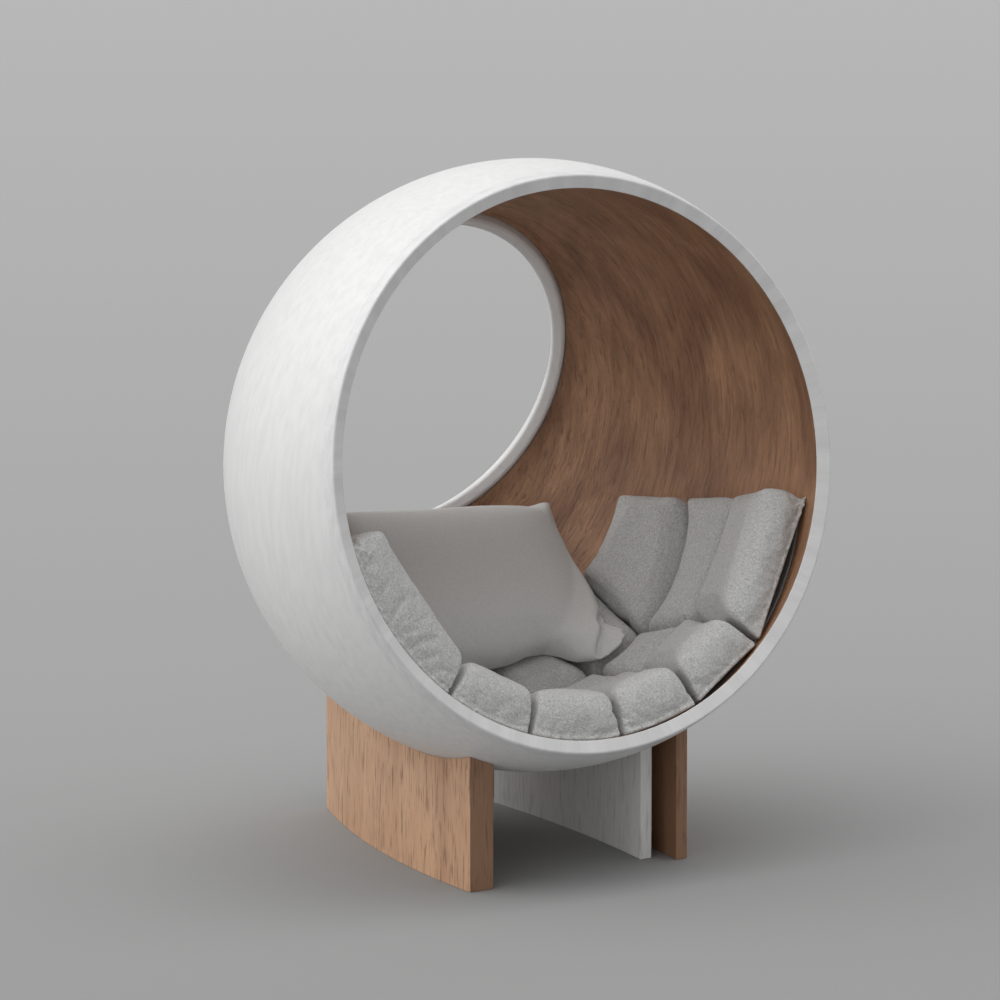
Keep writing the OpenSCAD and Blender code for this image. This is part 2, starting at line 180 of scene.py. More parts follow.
def setColour(tree, shader, colour):
    tree.links.new(colour, shader.inputs["Base Color"])


# Along a ring about the chair's front-to-back line and across the rings, in metres: the way the veneer runs
def ringPlace(tree, place):
    fromCentre = addNode(tree, "VectorMath", {0: place, 1: shell["centre"]}, operation="SUBTRACT").outputs[0]
    x, y, z = apart(tree, fromCentre)
    turn = calc(tree, "ARCTAN2", x, z)
    ring = calc(tree, "SQRT", calc(tree, "ADD", calc(tree, "MULTIPLY", x, x), calc(tree, "MULTIPLY", z, z)))
    tilt = calc(tree, "ARCTAN2", y, ring)
    along = calc(tree, "MULTIPLY", turn, shell["inside"])
    across = calc(tree, "MULTIPLY", tilt, shell["inside"])
    return addNode(tree, "CombineXYZ", {0: along, 1: across, 2: 0.0}).outputs[0], turn


# Finishes

paint = {
    "colour": (0.78, 0.78, 0.775), "dark": (0.72, 0.72, 0.715), "roughness": 0.42,
    "grain": (9, 9, 1.2), "fine": (40, 40, 3), "scale": 6, "bump": 0.12, "bumpDepth": 0.004,
}


def paintedShell():
    material, tree, shader, place = startMaterial("whitePaint", paint["roughness"])
    grain = noise(tree, stretched(tree, place, paint["grain"]), paint["scale"], 4, 0.6)
    fine = noise(tree, stretched(tree, place, paint["fine"]), paint["scale"], 3, 0.6)
    setColour(tree, shader, ramp(tree, grain, [(0.3, paint["dark"]), (0.6, paint["colour"])]))
    height = calc(tree, "ADD", grain, calc(tree, "MULTIPLY", fine, 0.4))
    addBump(tree, shader, height, paint["bump"], paint["bumpDepth"])
    return material


hoopPaint = {"colour": (0.77, 0.77, 0.77), "dark": (0.68, 0.68, 0.68), "seams": 40}
# The rear hoop has the same white paint as the front one, painted lighter here: painted light for the light
# falling on it
windowPaintPaintedLight = {"colour": (0.88, 0.88, 0.88), "dark": (0.84, 0.84, 0.84), "seams": 12}
hoopFinish = {
    "roughness": 0.4, "ripple": (18, 60, 1), "bump": 0.3, "bumpDepth": 0.005,
    "seamColour": (0.42, 0.42, 0.41), "seamWidth": 0.012, "seamShare": 0.15,
}


# Lacquer with fine seams at even turns: a seam where the share of a turn is under the seam's width
def paintedHoop(name, tones):
    material, tree, shader, place = startMaterial(name, hoopFinish["roughness"])
    ring, turn = ringPlace(tree, place)
    ripple = noise(tree, stretched(tree, ring, hoopFinish["ripple"]), 1, 3, 0.6)
    share = calc(tree, "FRACT", calc(tree, "MULTIPLY", turn, tones["seams"] / (2 * np.pi)))
    seam = calc(tree, "LESS_THAN", share, hoopFinish["seamWidth"])
    tone = ramp(tree, ripple, [(0.35, tones["dark"]), (0.65, tones["colour"])])
    shown = calc(tree, "MULTIPLY", seam, hoopFinish["seamShare"])
    setColour(tree, shader, mixed(tree, shown, tone, hoopFinish["seamColour"]))
    height = calc(tree, "SUBTRACT", ripple, calc(tree, "MULTIPLY", seam, 0.3))
    addBump(tree, shader, height, hoopFinish["bump"], hoopFinish["bumpDepth"])
    return material


veneer = {
    "light": (0.57, 0.318, 0.182), "mid": (0.31, 0.157, 0.088), "dark": (0.11, 0.048, 0.028),
    "broad": (1.3, 4, 1), "lines": (5, 60, 1), "streaks": (14, 130, 1), "pores": (50, 420, 1),
    "lineStain": [(0.45, 0.0), (0.68, 0.45)], "streakStain": [(0.56, 0.0), (0.68, 0.5)],
    "poreStain": [(0.55, 0.0), (0.72, 0.3)], "roughness": 0.34, "bump": 0.6, "bumpDepth": 0.004,
}


def veneerLining():
    material, tree, shader, place = startMaterial("walnutVeneer", veneer["roughness"])
    ring, _ = ringPlace(tree, place)
    broad = noise(tree, stretched(tree, ring, veneer["broad"]), 1, 5, 0.6, 1.2)
    lines = noise(tree, stretched(tree, ring, veneer["lines"]), 1, 5, 0.7, 0.6)
    streaks = noise(tree, stretched(tree, ring, veneer["streaks"]), 1, 3, 0.6, 0.8)
    pores = noise(tree, stretched(tree, ring, veneer["pores"]), 1, 2, 0.6)
    tone = ramp(tree, broad, [(0.36, veneer["mid"]), (0.60, veneer["light"])])
    tone = mixed(tree, ramp(tree, lines, veneer["lineStain"]), tone, veneer["dark"])
    tone = mixed(tree, ramp(tree, streaks, veneer["streakStain"]), tone, veneer["dark"])
    tone = mixed(tree, ramp(tree, pores, veneer["poreStain"]), tone, veneer["dark"])
    setColour(tree, shader, tone)
    height = calc(tree, "SUBTRACT", lines, calc(tree, "ADD", calc(tree, "MULTIPLY", streaks, 1.5), pores))
    addBump(tree, shader, height, veneer["bump"], veneer["bumpDepth"])
    return material


# Ends is how dark the end grain of the panels' front and rear ends is, and inner is painted shade: how much
# darker their faces turned towards the chair's middle are painted, as these lie in shade under the shell
legWood = {
    "light": (0.62, 0.385, 0.240), "mid": (0.50, 0.295, 0.18), "dark": (0.20, 0.10, 0.055),
    "roughness": 0.5, "ends": 0.62, "inner": 0.8,
}
panelPaint = {
    "light": (0.88, 0.88, 0.87), "mid": (0.80, 0.80, 0.79), "dark": (0.60, 0.60, 0.59),
    "roughness": 0.5, "ends": 0, "inner": 0,
}
railWood = {
    "light": (0.42, 0.29, 0.20), "mid": (0.36, 0.24, 0.16), "dark": (0.22, 0.13, 0.08),
    "roughness": 0.6, "ends": 0, "inner": 0,
}
dowelWood = {
    "light": (0.72, 0.56, 0.38), "mid": (0.64, 0.48, 0.32), "dark": (0.45, 0.31, 0.20),
    "roughness": 0.6, "ends": 0, "inner": 0,
}
woodGrain = {
    "broad": (14, 14, 1.6), "streaks": (150, 150, 13), "fine": (420, 420, 22),
    "streakStain": [(0.54, 0.0), (0.66, 0.7)], "fineStain": [(0.45, 0.0), (0.75, 0.3)],
    "endFacing": 0.75, "shadedInnerFacing": -0.12, "bump": 0.3, "bumpDepth": 0.001,
}


def streakedWood(name, tones):
    material, tree, shader, place = startMaterial(name, tones["roughness"], 0.4)
    broad = noise(tree, stretched(tree, place, woodGrain["broad"]), 1, 4, 0.55, 0.5)
    streaks = noise(tree, stretched(tree, place, woodGrain["streaks"]), 1, 3, 0.55, 0.4)
    fine = noise(tree, stretched(tree, place, woodGrain["fine"]), 1, 2, 0.6)
    tone = ramp(tree, broad, [(0.32, tones["mid"]), (0.66, tones["light"])])
    tone = mixed(tree, ramp(tree, streaks, woodGrain["streakStain"]), tone, tones["dark"])
    tone = mixed(tree, ramp(tree, fine, woodGrain["fineStain"]), tone, tones["dark"])
    facing = apart(tree, addNode(tree, "TexCoord").outputs["Normal"])
    beside = apart(tree, place)["X"]
    end = calc(tree, "GREATER_THAN", calc(tree, "ABSOLUTE", facing["Y"]), woodGrain["endFacing"])
    # Painted shade: faces turned towards the chair's middle are darkened, standing in for the shade under the
    # shell
    inner = calc(tree, "LESS_THAN", calc(tree, "MULTIPLY", beside, facing["X"]), woodGrain["shadedInnerFacing"])
    endStain = calc(tree, "MULTIPLY", end, tones["ends"])
    innerShade = calc(tree, "MULTIPLY", inner, tones["inner"])
    stainAndShade = calc(tree, "ADD", endStain, innerShade)
    setColour(tree, shader, mixed(tree, stainAndShade, tone, tones["dark"]))
    addBump(tree, shader, calc(tree, "ADD", streaks, fine), woodGrain["bump"], woodGrain["bumpDepth"])
    return material


zincSteel = {"colour": (0.62, 0.62, 0.63), "roughness": 0.35}
insertBrass = {"colour": (0.72, 0.58, 0.32), "roughness": 0.4}
glideRubber = {"light": (0.06, 0.06, 0.06), "dark": (0.03, 0.03, 0.03), "roughness": 0.7}


def metal(name, finish):
    material, tree, shader, place = startMaterial(name, finish["roughness"])
    shader.inputs["Metallic"].default_value = 1.0
    brushed = noise(tree, stretched(tree, place, (900, 900, 60)), 1, 2)
    darker = tuple(0.85 * share for share in finish["colour"])
    setColour(tree, shader, ramp(tree, brushed, [(0.2, darker), (0.8, finish["colour"])]))
    return material


def rubber():
    material, tree, shader, place = startMaterial("blackRubber", glideRubber["roughness"], 0.3)
    speckle = noise(tree, place, 400, 2)
    setColour(tree, shader, ramp(tree, speckle, [(0.3, glideRubber["dark"]), (0.7, glideRubber["light"])]))
    return material


matTwill = {
    "light": (0.71, 0.71, 0.70), "dark": (0.40, 0.40, 0.395),
    "pitch": 0.0042, "depth": 0.004, "sheen": 0.15,
}
pillowSatin = {
    "light": (0.70, 0.70, 0.69), "dark": (0.63, 0.63, 0.62),
    "pitch": 0.0050, "depth": 0.0006, "sheen": 0.25,
}
backingCotton = {
    "light": (0.40, 0.40, 0.39), "dark": (0.30, 0.30, 0.29),
    "pitch": 0.005, "depth": 0.001, "sheen": 0.0,
}


yarn = {
    "roughness": 0.9, "specular": 0.25, "long": 0.7, "short": 1.5, "rib": 0.03,
    "darkUnder": 0.36, "lightOver": 0.64, "bump": 0.7,
}


# A cloth on the piece's own cloth coordinates: flecks of warp and weft yarn across each other, and a faint
# twill rib, sin(2 pi (x + y + z) / pitch)
def twill(name, finish):
    material, tree, shader, _ = startMaterial(name, yarn["roughness"], yarn["specular"], finish["sheen"])
    place = addNode(tree, "Attribute", attribute_name="clothPlace").outputs["Vector"]
    pitch = finish["pitch"]
    long = yarn["long"] / pitch
    short = yarn["short"] / pitch
    warp = noise(tree, stretched(tree, place, (long, short, long)), 1, 2, 0.6)
    weft = noise(tree, stretched(tree, place, (short, long, short)), 1, 2, 0.6)
    x, y, z = apart(tree, place)
    slanted = calc(tree, "ADD", calc(tree, "ADD", x, y), z)
    rib = calc(tree, "SINE", calc(tree, "MULTIPLY", slanted, 2 * np.pi / pitch))
    flecks = calc(tree, "MULTIPLY", calc(tree, "ADD", warp, weft), 0.5)
    weave = calc(tree, "ADD", flecks, calc(tree, "MULTIPLY", rib, yarn["rib"]))
    stops = [(yarn["darkUnder"], finish["dark"]), (yarn["lightOver"], finish["light"])]
    setColour(tree, shader, ramp(tree, weave, stops))
    addBump(tree, shader, weave, yarn["bump"], finish["depth"])
    return material


# The CAD pieces keep their shape and get their finish
finishes = [
    (paintedShell(), ["outer_shell"]),
    (paintedHoop("hoopPaint", hoopPaint), ["front_hoop"]),
    (paintedHoop("windowPaintPaintedLight", windowPaintPaintedLight), ["rear_hoop"]),
    (veneerLining(), ["wood_lining"]),
    (streakedWood("legWood", legWood), ["left_leg", "right_leg"]),
    (streakedWood("panelPaint", panelPaint), ["inner_panel"]),
    (streakedWood("railWood", railWood), ["leg_rail", "rear_spacer"]),
    (streakedWood("dowelWood", dowelWood), ["rail_dowels"]),
    (metal("zincSteel", zincSteel), ["shell_bolts", "bolt_washers"]),
    (metal("insertBrass", insertBrass), ["leg_inserts"]),
    (rubber(), ["foot_glides"]),
]
for material, names in finishes:
    for name in names:
        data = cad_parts[name].data
        data.materials.clear()
        data.materials.append(material)
print("finishes set")


# Seat mat: lengths in metres and angles in degrees, one value per row in the lists of three

seatMat = {
    "radius": 0.6649, "thickness": [0.120, 0.102, 0.102], "reach": 84.45, "faceHeight": 0.22810,
    "seams": [
        [-1.00, -0.522, -0.252, 0.044, 0.300, 0.552, 0.942],
        [-0.89, -0.498, -0.225, 0.034, 0.312, 0.537, 0.864],
        [-0.84, -0.449, -0.215, 0.024, 0.264, 0.444, 0.815],
        [-0.78, -0.478, -0.200, 0.024, 0.249, 0.488, 0.757],
    ],
    "rowAngles": [-6, 7.5, 32.5], "rowRise": [6, 12, 4], "fullAngle": 75, "frontRise": 6.5, "splay": 4,
    "steps": 61, "inset": 0.006, "startHeight": 0.95,
    "softness": 0.006, "nearSoftness": [0.018, 0.016, 0.012],
    "sideGap": 0.0012, "slit": 0.0080, "slitDepth": 0.08, "footBack": 0.010, "footHeight": 0.024,
    "freeSwell": 0.008, "topSwell": [0.012, 0.004, 0.003],
    "standOff": [0, 0, 0, 0.003, 0.012, 0.027], "standDepth": 0.07,  # one value per column
    "voxel": 0.0062, "pinnedHeight": 0.005, "pressure": 1.2, "cap": 0.009, "growth": -0.025, "fill": 0.8,
}
rowNames = ["front", "mid", "rear"]
lastRow = len(rowNames) - 1
lastColumn = len(seatMat["seams"][0]) - 2


# Point of the bowl: radius * (cos back * sin around, sin back, -cos back * cos around), angles in degrees
def bowl(around, back, radius):
    a, b = np.radians(around), np.radians(back)
    direction = np.stack([np.cos(b) * np.sin(a), np.sin(b), -np.cos(b) * np.cos(a)], -1)
    return shellCentre + radius[..., None] * direction


# The same the other way: angle around, angle back and radius of points
def inBowl(points):
    p = points - shellCentre
    radius = np.linalg.norm(p, axis=-1)
    return np.degrees(np.arctan2(p[..., 0], -p[..., 2])), np.degrees(np.arcsin(p[..., 1] / radius)), radius


# Angle back of the mat's face: arcsin(-height / radius / |(a, b)|) - atan2(b, a),
# with a = cos lean and b = cos around * sin lean
def faceBack(around, radius, height):
    a = np.cos(np.radians(shell["lean"]))
    b = np.cos(np.radians(around)) * np.sin(np.radians(shell["lean"]))
    return np.degrees(np.arcsin(-height / radius / np.hypot(a, b)) - np.arctan2(b, a))


# Edge of a row: for the first the mouth's plane + front rise * (around / reach)^2 on the right,
# for the others row angle + row rise * (|around| / full angle)^3
def rowEdge(row, around, radius, proud=0.0):
    if row == 0:
        drawnBack = seatMat["frontRise"] * (np.maximum(around, 0) / seatMat["reach"]) ** 2
        return faceBack(around, radius, seatMat["faceHeight"] + proud) + drawnBack
    risen = seatMat["rowRise"][row - 1] * (abs(around) / seatMat["fullAngle"]) ** 3
    return seatMat["rowAngles"][row - 1] + risen


# Seam between columns, straight from one row's edge to the next
def columnEdge(row, column, v):
    near, far = seatMat["seams"][row][column], seatMat["seams"][row + 1][column]
    return seatMat["reach"] * (near + (far - near) * v)


# Height over the mat's cloth: the thickness, and in the front row the rise that makes the top flat
def padHeight(row, u, left, right):
    thickness = seatMat["thickness"][row]
    if row > 0:
        return thickness + 0 * u
    flat = (seatMat["radius"] - thickness) * (1 - np.cos(np.radians(right - left) / 2))
    return thickness + flat * (1 - (2 * u - 1) ** 2)


# Rise from a seam at a distance: sqrt(1 - exp(-distance / softness)), steep at first and then flat
def fullness(distance, softness):
    return np.sqrt(1 - np.exp(-distance / softness))


# Segment of the mat: a grid of shares u, v between its seams, closer near them, raised over its own flat base
# by the product of the fullnesses from the sides, the near edge and the far edge
def padStart(row, column):
    steps = seatMat["steps"]
    shares = (1 - np.cos(np.linspace(0, np.pi, steps))) / 2
    u, v = np.meshgrid(shares, shares, indexing="ij")
    left, right = columnEdge(row, column, v), columnEdge(row, column + 1, v)
    around, base = left + (right - left) * u, np.full_like(u, seatMat["radius"])
    across = np.radians(right - left) * base
    along = np.radians(rowEdge(row + 1, around, base) - rowEdge(row, around, base)) * base
    full = seatMat["startHeight"] * fullness(np.minimum(u, 1 - u) * across, seatMat["softness"])
    full = full * fullness(v * along, seatMat["nearSoftness"][row])
    full = full * fullness((1 - v) * along, seatMat["softness"])
    radius = seatMat["radius"] - full * padHeight(row, u, left, right)
    left = left - seatMat["splay"] * full * (column == 0)
    right = right + seatMat["splay"] * full * (column == lastColumn)
    margin = np.degrees(seatMat["inset"] / seatMat["radius"])
    around = left + (right - left) * u
    front, rear = rowEdge(row, around, radius) + margin, rowEdge(row + 1, around, radius) - margin
    back = front + (rear - front) * v
    side = margin / np.cos(np.radians(back))
    around = left + side + (right - left - 2 * side) * u
    return bothSides(bowl(around, back, radius), bowl(around, back, base)), closedFaces(steps, steps)


# Keeps a swollen segment between its seams: angles and radius clipped to the cell. In the front row the gap
# opens near the mouth by slit * sqrt(sin(pi * height share)) * exp(-depth^4), the foot is set back by
# foot back * exp(-(height / foot height)^2), and on the right wall the foot stands off the bowl by
# stand off * 4 * u * (1 - u) * (1 - height share) * exp(-depth^2)
def keepInCell(points, row, column):
    around, back, radius = inBowl(points)
    free, gap = np.degrees(seatMat["freeSwell"] / radius), np.degrees(seatMat["sideGap"] / radius)
    front, rear = rowEdge(row, around, radius, seatMat["freeSwell"]), rowEdge(row + 1, around, radius)
    foot = np.exp(-((seatMat["radius"] - radius) / seatMat["footHeight"]) ** 2) * (row == 0)
    nearest = front + gap * (row > 0) + np.degrees(seatMat["footBack"] / radius) * foot
    back = np.clip(back, nearest, rear - gap if row < lastRow else rear + free)
    v = np.clip((back - front) / (rear - front), 0, 1)
    left, right = columnEdge(row, column, v), columnEdge(row, column + 1, v)
    middle = np.clip((around - left) / (right - left), 0, 1)
    height = padHeight(row, middle, left, right)
    share = np.clip((seatMat["radius"] - radius) / height, 0, 1)
    if row == 0:
        depth = np.radians(back - front) * radius / seatMat["slitDepth"]
        opened = np.sin(np.pi * share) ** 0.5 * np.exp(-depth ** 4)
        gap = gap + np.degrees(seatMat["slit"] / radius) * opened
    side, splay = gap / np.cos(np.radians(back)), seatMat["splay"] * share
    lowest = left - splay - free if column == 0 else left + side
    highest = right + splay + free if column == lastColumn else right - side
    radius = np.clip(radius, seatMat["radius"] - height - seatMat["topSwell"][row], seatMat["radius"])
    if row == 0:
        arch = 4 * middle * (1 - middle) * (1 - share)
        depth = np.radians(back - front) * radius / seatMat["standDepth"]
        radius = radius - seatMat["standOff"][column] * arch * np.exp(-depth ** 2)
    return bowl(np.clip(around, lowest, highest), back, radius)


# Cloth coordinates of points in the bowl: arcs around and back, and depth, in metres
def bowlCloth(points):
    around, back, radius = inBowl(points)
    arcAround = np.radians(around) * np.cos(np.radians(back)) * seatMat["radius"]
    return np.stack([arcAround, np.radians(back) * seatMat["radius"], radius], -1)


def storeCloth(mesh, places):
    attribute = mesh.attributes.new("clothPlace", "FLOAT_VECTOR", "POINT")
    attribute.data.foreach_set("vector", places.astype(np.float32).ravel())


def remeshed(piece, voxel):
    remesh = piece.modifiers.new("remesh", "REMESH")
    remesh.mode = "VOXEL"
    remesh.voxel_size = voxel
    remesh.use_smooth_shade = True
    applyModifiers(piece)


pads = {}
for row, rowName in enumerate(rowNames):
    for column in range(lastColumn + 1):
        node = f"{rowName}_pad_{column + 1}"
        points, faces = padStart(row, column)
        pad = makePiece(node + "_cover", points, faces, node)
        remeshed(pad, seatMat["voxel"])
        pads[(row, column)] = pad
print("mat segments started")


# Pillow: lengths in metres, angles in degrees, and tables of places along an edge and how far it is let out

pillow = {
    "width": 0.600, "height": 0.430, "thickness": 0.150, "lean": 42, "turn": 6, "shift": (0.022, -0.068),
    "draw": 0.045, "taper": 0.14, "depth": 0.4715, "reach": 0.5605, "edgeReach": 0.5495, "steps": 61,
    "power": 4, "topPower": 2.6, "leftOut": 0.018,
    "sideOut": ([-1, -0.9, -0.8, -0.7, -0.6, -0.5, -0.4, -0.2, 0, 0.25, 0.5, 0.75, 1],
                [-0.060, -0.012, 0.012, 0.018, 0.004, 0.006, 0.012, 0.021, 0.022, 0.018, 0.013, 0.006, 0]),
    "floorOut": ([-0.3, 0, 0.2, 0.35, 0.5, 0.6, 0.7, 0.8, 0.9, 1],
                 [0, 0.003, 0.014, 0.030, 0.032, 0.015, -0.012, -0.020, -0.023, -0.023]),
    "topOut": ([-1, -0.6, -0.3, 0, 0.3, 0.5, 0.8, 1],
               [0.007, 0.009, 0.011, 0.016, 0.017, 0.015, 0.010, 0.003]),
    "fold": ([-1, -0.95, -0.9, -0.8, -0.6, -0.5], [0.92, 0.85, 0.82, 0.825, 0.90, 0.98]),
    "foldWidth": 0.012, "foldDepth": 0.6,
    "foldFade": 10, "foldStart": 5,  # the fold deepens below v = -start / fade
    "crease": 0.017, "creaseWidth": 0.0065, "creaseFrom": -0.98, "creaseTo": -0.48, "creaseReach": 0.2,
    "voxel": 0.006, "pressure": 1.0, "cap": 0.006, "growth": -0.01, "fill": 0.6,
}


# Share of the thickness over the pillow: sqrt(1 - |u|^power) * sqrt(1 - |v|^power), with a smaller power at
# the top, and on its face lower past the fold by 1 / (1 + exp(-(u - fold line) / fold width))
def pillowFull(u, v, side):
    upright = np.where(v > 0, pillow["topPower"], pillow["power"])
    full = np.sqrt((1 - np.abs(u) ** pillow["power"]) * (1 - np.abs(v) ** upright))
    past = 1 / (1 + np.exp((np.interp(v, *pillow["fold"]) - u) / pillow["foldWidth"]))
    low = np.clip(-pillow["foldFade"] * v - pillow["foldStart"], 0, 1)
    return full * (1 - pillow["foldDepth"] * past * low * (side < 0))


# A place in the pillow's plane turned by its lean: x and y run across and up it, and depth towards the bowl
def leaned(x, y, depth):
    lean = np.radians(pillow["lean"])
    back = y * np.sin(lean) + depth * np.cos(lean)
    return np.stack([x, back, y * np.cos(lean) - depth * np.sin(lean)], -1)


# Point of the pillow: drawn in between the corners, narrower at the top, turned, off its middle, held in the
# bowl; its edges are let out, the right, lower and upper ones by tables, fading inwards with the share cubed
def pillowPoint(u, v, side):
    narrowed = 1 - pillow["taper"] * (v + 1) / 2
    p = pillow["width"] / 2 * narrowed * u * (1 - pillow["draw"] * (1 - v * v))
    q = pillow["height"] / 2 * v * (1 - pillow["draw"] * (1 - u * u))
    p = p + np.interp(v, *pillow["sideOut"]) * np.maximum(u, 0) ** 3
    p = p - pillow["leftOut"] * np.maximum(-u, 0) ** 3
    q = q + np.interp(u, *pillow["floorOut"]) * np.maximum(-v, 0) ** 3
    q = q + np.interp(u, *pillow["topOut"]) * np.maximum(v, 0) ** 3
    turn = np.radians(pillow["turn"])
    x = p * np.cos(turn) + q * np.sin(turn) + pillow["shift"][0]
    y = q * np.cos(turn) - p * np.sin(turn) + pillow["shift"][1]
    middle = np.minimum(pillow["depth"], np.sqrt(pillow["edgeReach"] ** 2 - x * x - y * y))
    place = leaned(x, y, middle + side * pillow["thickness"] / 2 * pillowFull(u, v, side))
    distance = np.linalg.norm(place, axis=-1, keepdims=True)
    return shellCentre + place * np.minimum(1, pillow["reach"] / distance)


def makePillow():
    steps = pillow["steps"]
    shares = -np.cos(np.linspace(0, np.pi, steps))
    u, v = np.meshgrid(shares, shares, indexing="ij")
    points = bothSides(pillowPoint(u, v, -1), pillowPoint(u, v, 1))
    piece = makePiece("back_pillow_cover", points, closedFaces(steps, steps), "back_pillow")
    remeshed(piece, pillow["voxel"])
    return piece


# The other way: places of points in the pillow's own plane and off it
def pillowCloth(points):
    x, y, z = (points - shellCentre).T
    lean = np.radians(pillow["lean"])
    return np.stack([x, y * np.sin(lean) + z * np.cos(lean), y * np.cos(lean) - z * np.sin(lean)], -1)


# The fold at the corner pressed in once the cloth has settled:
# crease * exp(-(distance to the fold line / crease width)^2)
def creased(points):
    v = np.linspace(pillow["creaseFrom"], pillow["creaseTo"], 60)
    line = pillowPoint(np.interp(v, *pillow["fold"]), v, -1)
    isNear = np.linalg.norm(points - line.mean(0), axis=1) < pillow["creaseReach"]
    distance = np.full(len(points), 1.0)
    distance[isNear] = np.linalg.norm(points[isNear][:, None] - line[None], axis=2).min(1)
    push = pillow["crease"] * np.exp(-(distance / pillow["creaseWidth"]) ** 2)
    return points + push[:, None] * leaned(0.0, 0.0, 1.0)


pillowPiece = makePillow()
print("pillow started")


# Cloth: the segments and the pillow swell under their own pressure

cloth = {"frames": 18, "quality": 4, "mass": 0.3, "stretch": 15, "shear": 5, "bending": 0.5}


def addCloth(piece, pinned, pressure, growth):
    group = piece.vertex_groups.new(name="pinned")
    group.add(np.flatnonzero(pinned).tolist(), 1.0, "REPLACE")
    modifier = piece.modifiers.new("cloth", "CLOTH")
    settings = modifier.settings
    settings.quality = cloth["quality"]
    settings.mass = cloth["mass"]
    settings.tension_stiffness = cloth["stretch"]
    settings.compression_stiffness = cloth["stretch"]
    settings.shear_stiffness = cloth["shear"]
    settings.bending_stiffness = cloth["bending"]
    settings.use_pressure = True
    settings.uniform_pressure_force = pressure
    settings.shrink_min = growth
    settings.effector_weights.gravity = 0
    settings.vertex_group_mass = "pinned"
    modifier.point_cache.frame_start = 1
    modifier.point_cache.frame_end = cloth["frames"]


# Steps the cloth of several pieces at once, then writes each moved point back, no further than its cap
def settleCloth(pieces, caps):
    starts = [meshPoints(piece.data) for piece in pieces]
    for step in range(1, cloth["frames"] + 1):
        scene.frame_set(step)
    depsgraph = bpy.context.evaluated_depsgraph_get()
    for piece, start, cap in zip(pieces, starts, caps):
        moved = meshPoints(piece.evaluated_get(depsgraph).data) - start
        length = np.linalg.norm(moved, axis=1, keepdims=True)
        moved *= np.minimum(1, cap / np.maximum(length, 1e-9))
        piece.modifiers.clear()
        piece.vertex_groups.clear()
        setPoints(piece.data, start + moved)
    scene.frame_set(1)


def subdivided(piece):
    smooth = piece.modifiers.new("smooth", "SUBSURF")
    smooth.levels = smooth.render_levels = 1
    applyModifiers(piece)


for pad in pads.values():
    base = inBowl(meshPoints(pad.data))[2] > seatMat["radius"] - seatMat["pinnedHeight"]
    addCloth(pad, base, seatMat["pressure"], seatMat["growth"])
loose = np.zeros(len(pillowPiece.data.vertices), bool)
addCloth(pillowPiece, loose, pillow["pressure"], pillow["growth"])
settleCloth([*pads.values(), pillowPiece], [seatMat["cap"]] * len(pads) + [pillow["cap"]])
print("cloth settled")

matCloth = twill("matTwill", matTwill)
for (row, column), pad in pads.items():
    setPoints(pad.data, keepInCell(meshPoints(pad.data), row, column))
    subdivided(pad)
    storeCloth(pad.data, bowlCloth(meshPoints(pad.data)))
    pad.data.materials.append(matCloth)
subdivided(pillowPiece)
setPoints(pillowPiece.data, creased(meshPoints(pillowPiece.data)))
storeCloth(pillowPiece.data, pillowCloth(meshPoints(pillowPiece.data)))
pillowPiece.data.materials.append(twill("pillowSatin", pillowSatin))
print("pads and pillow finished")


# Backing: the cloth that the segments are sewn to, between two radii under them

backing = {
    "inner": 0.6653, "thickness": 0.0013, "flat": (1.78, 0.71), "area": 1.06, "steps": (121, 41),
    "sideIn": 1, "frontIn": 4, "rearIn": 1,  # degrees in from the mat's sides, front and rear
}


# Area of a grid of points: half the length of the cross product of each cell's diagonals, summed
def gridArea(grid):
    rising = grid[1:, 1:] - grid[:-1, :-1]
    falling = grid[1:, :-1] - grid[:-1, 1:]
    return np.linalg.norm(np.cross(rising, falling), axis=-1).sum() / 2


# Surface of shares u, v of the mat's outline: around between the outer seams and back between the rows' edges
def makeBacking():
    shares = [np.linspace(0, 1, count) for count in backing["steps"]]
    u, v = np.meshgrid(*shares, indexing="ij")
    rows = np.linspace(0, 1, lastRow + 2)
    seams = np.array(seatMat["seams"]) * seatMat["reach"]
    left = np.interp(v, rows, seams[:, 0]) + backing["sideIn"]
    right = np.interp(v, rows, seams[:, -1]) - backing["sideIn"]
    around, radius = left + (right - left) * u, np.full_like(u, backing["inner"])
    edges = np.stack([rowEdge(row, around, radius) for row in range(lastRow + 2)])
    part = np.minimum(v * (lastRow + 1), lastRow + 0.9999)
    row = part.astype(int)
    near = np.take_along_axis(edges, row[None], 0)[0]
    far = np.take_along_axis(edges, row[None] + 1, 0)[0]
    drawnIn = backing["frontIn"] - (backing["frontIn"] + backing["rearIn"]) * v
    back = near + (far - near) * (part - row) + drawnIn
    top, bottom = bowl(around, back, radius), bowl(around, back, radius + backing["thickness"])
    points = bothSides(top, bottom)
    piece = makePiece("mat_backing_cloth", points, closedFaces(*backing["steps"]), "mat_backing")
    storeCloth(piece.data, bowlCloth(points))
    piece.data.materials.append(twill("backingCloth", backingCotton))
    wide = np.linalg.norm(np.diff(top, axis=0), axis=-1).sum(0).max()
    deep = np.linalg.norm(np.diff(top, axis=1), axis=-1).sum(1).max()
    print(f"backing laid: {gridArea(top):.3f} square metres, {wide:.3f} by {deep:.3f} m")


makeBacking()


# Floor, light and camera

stage = {
    "size": 400.0, "seen": 0.5,
    "lobes": [
        ((-1, 0, 0), 1.34, 1), ((1, 0, 0), 0.66, 1), ((0, -1, 0), 0.05, 1), ((0, 1, 0), 0.28, 1),
        ((-0.60, 0.35, 0.72), 1.60, 10), ((0, 0, 1), 1.95, 10), ((0.40, -0.20, 0.89), 0.95, 10),
    ],
    "floorFrom": -2.0, "floorTo": 12.0,  # metres away from the camera's side
    "floorTones": [(0.0, 0.290), (0.14, 0.318), (0.3, 0.340), (0.55, 0.375), (1.0, 0.43)],
}
photoCamera = {
    "lens": 540.0, "azimuth": 31.40, "elevation": 13.55, "distance": 34.204, "yaw": -0.119, "pitch": -13.684,
}


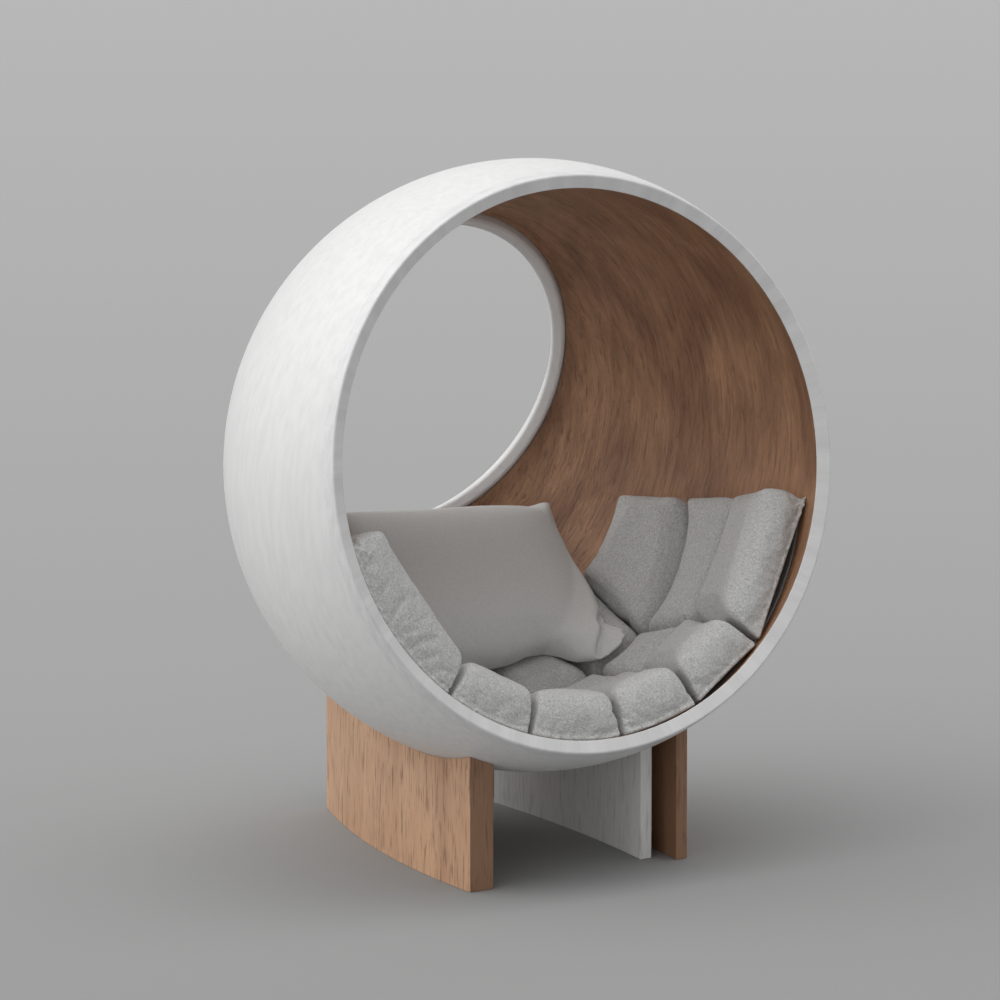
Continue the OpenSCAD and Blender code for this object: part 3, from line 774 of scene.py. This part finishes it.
# A pale grey that grows lighter away from the camera's place
def floorMaterial():
    material, tree, shader, place = startMaterial("studioFloor", 0.9, 0.1)
    a = np.radians(photoCamera["azimuth"])
    away = dotted(tree, place, (np.sin(a), np.cos(a), 0))
    span = {0: away, 1: stage["floorFrom"], 2: stage["floorTo"], 3: 0.0, 4: 1.0}
    share = addNode(tree, "MapRange", span).outputs[0]
    setColour(tree, shader, ramp(tree, share, stage["floorTones"]))
    return material


def makeFloor():
    half = stage["size"] / 2
    mesh = bpy.data.meshes.new("studioFloor")
    corners = [(-half, -half, 0), (half, -half, 0), (half, half, 0), (-half, half, 0)]
    mesh.from_pydata(corners, [], [(0, 1, 2, 3)])
    floor = bpy.data.objects.new("studioFloor", mesh)
    scene.collection.objects.link(floor)
    mesh.materials.append(floorMaterial())


# The studio's light, seen as a plain grey: strength = sum of lobe * max(direction . towards, 0)^power
def makeWorld():
    world = bpy.data.worlds.new("studio")
    scene.world = world
    world.use_nodes = True
    tree = world.node_tree
    background = tree.nodes["Background"]
    background.inputs["Color"].default_value = (1, 1, 1, 1)
    direction = addNode(tree, "TexCoord").outputs["Generated"]
    strength = 0.0
    for towards, lobe, power in stage["lobes"]:
        unit = Vector(towards).normalized()
        facing = dotted(tree, direction, unit)
        shaped = calc(tree, "POWER", calc(tree, "MAXIMUM", facing, 0.0), power)
        strength = calc(tree, "ADD", calc(tree, "MULTIPLY", shaped, lobe), strength)
    seen = addNode(tree, "LightPath").outputs["Is Camera Ray"]
    plain = addNode(tree, "Mix", {0: seen, 2: strength, 3: stage["seen"]}).outputs[0]
    tree.links.new(plain, background.inputs["Strength"])


def makeCamera():
    data = bpy.data.cameras.new("photoCamera")
    data.lens = photoCamera["lens"]
    data.sensor_width = 36
    data.clip_start = 1
    data.clip_end = 400
    camera = bpy.data.objects.new("photoCamera", data)
    a, e = np.radians(photoCamera["azimuth"]), np.radians(photoCamera["elevation"])
    towardsCamera = np.array([-np.sin(a) * np.cos(e), -np.cos(a) * np.cos(e), np.sin(e)])
    camera.location = shellCentre + photoCamera["distance"] * towardsCamera
    turn, pitch = a + np.radians(photoCamera["yaw"]), np.radians(photoCamera["pitch"])
    forward = Vector((np.sin(turn) * np.cos(pitch), np.cos(turn) * np.cos(pitch), np.sin(pitch)))
    camera.rotation_mode = "QUATERNION"
    camera.rotation_quaternion = forward.to_track_quat("-Z", "Y")
    scene.collection.objects.link(camera)
    bpy.context.scene.camera = camera


makeFloor()
makeWorld()
makeCamera()
print("stage set")
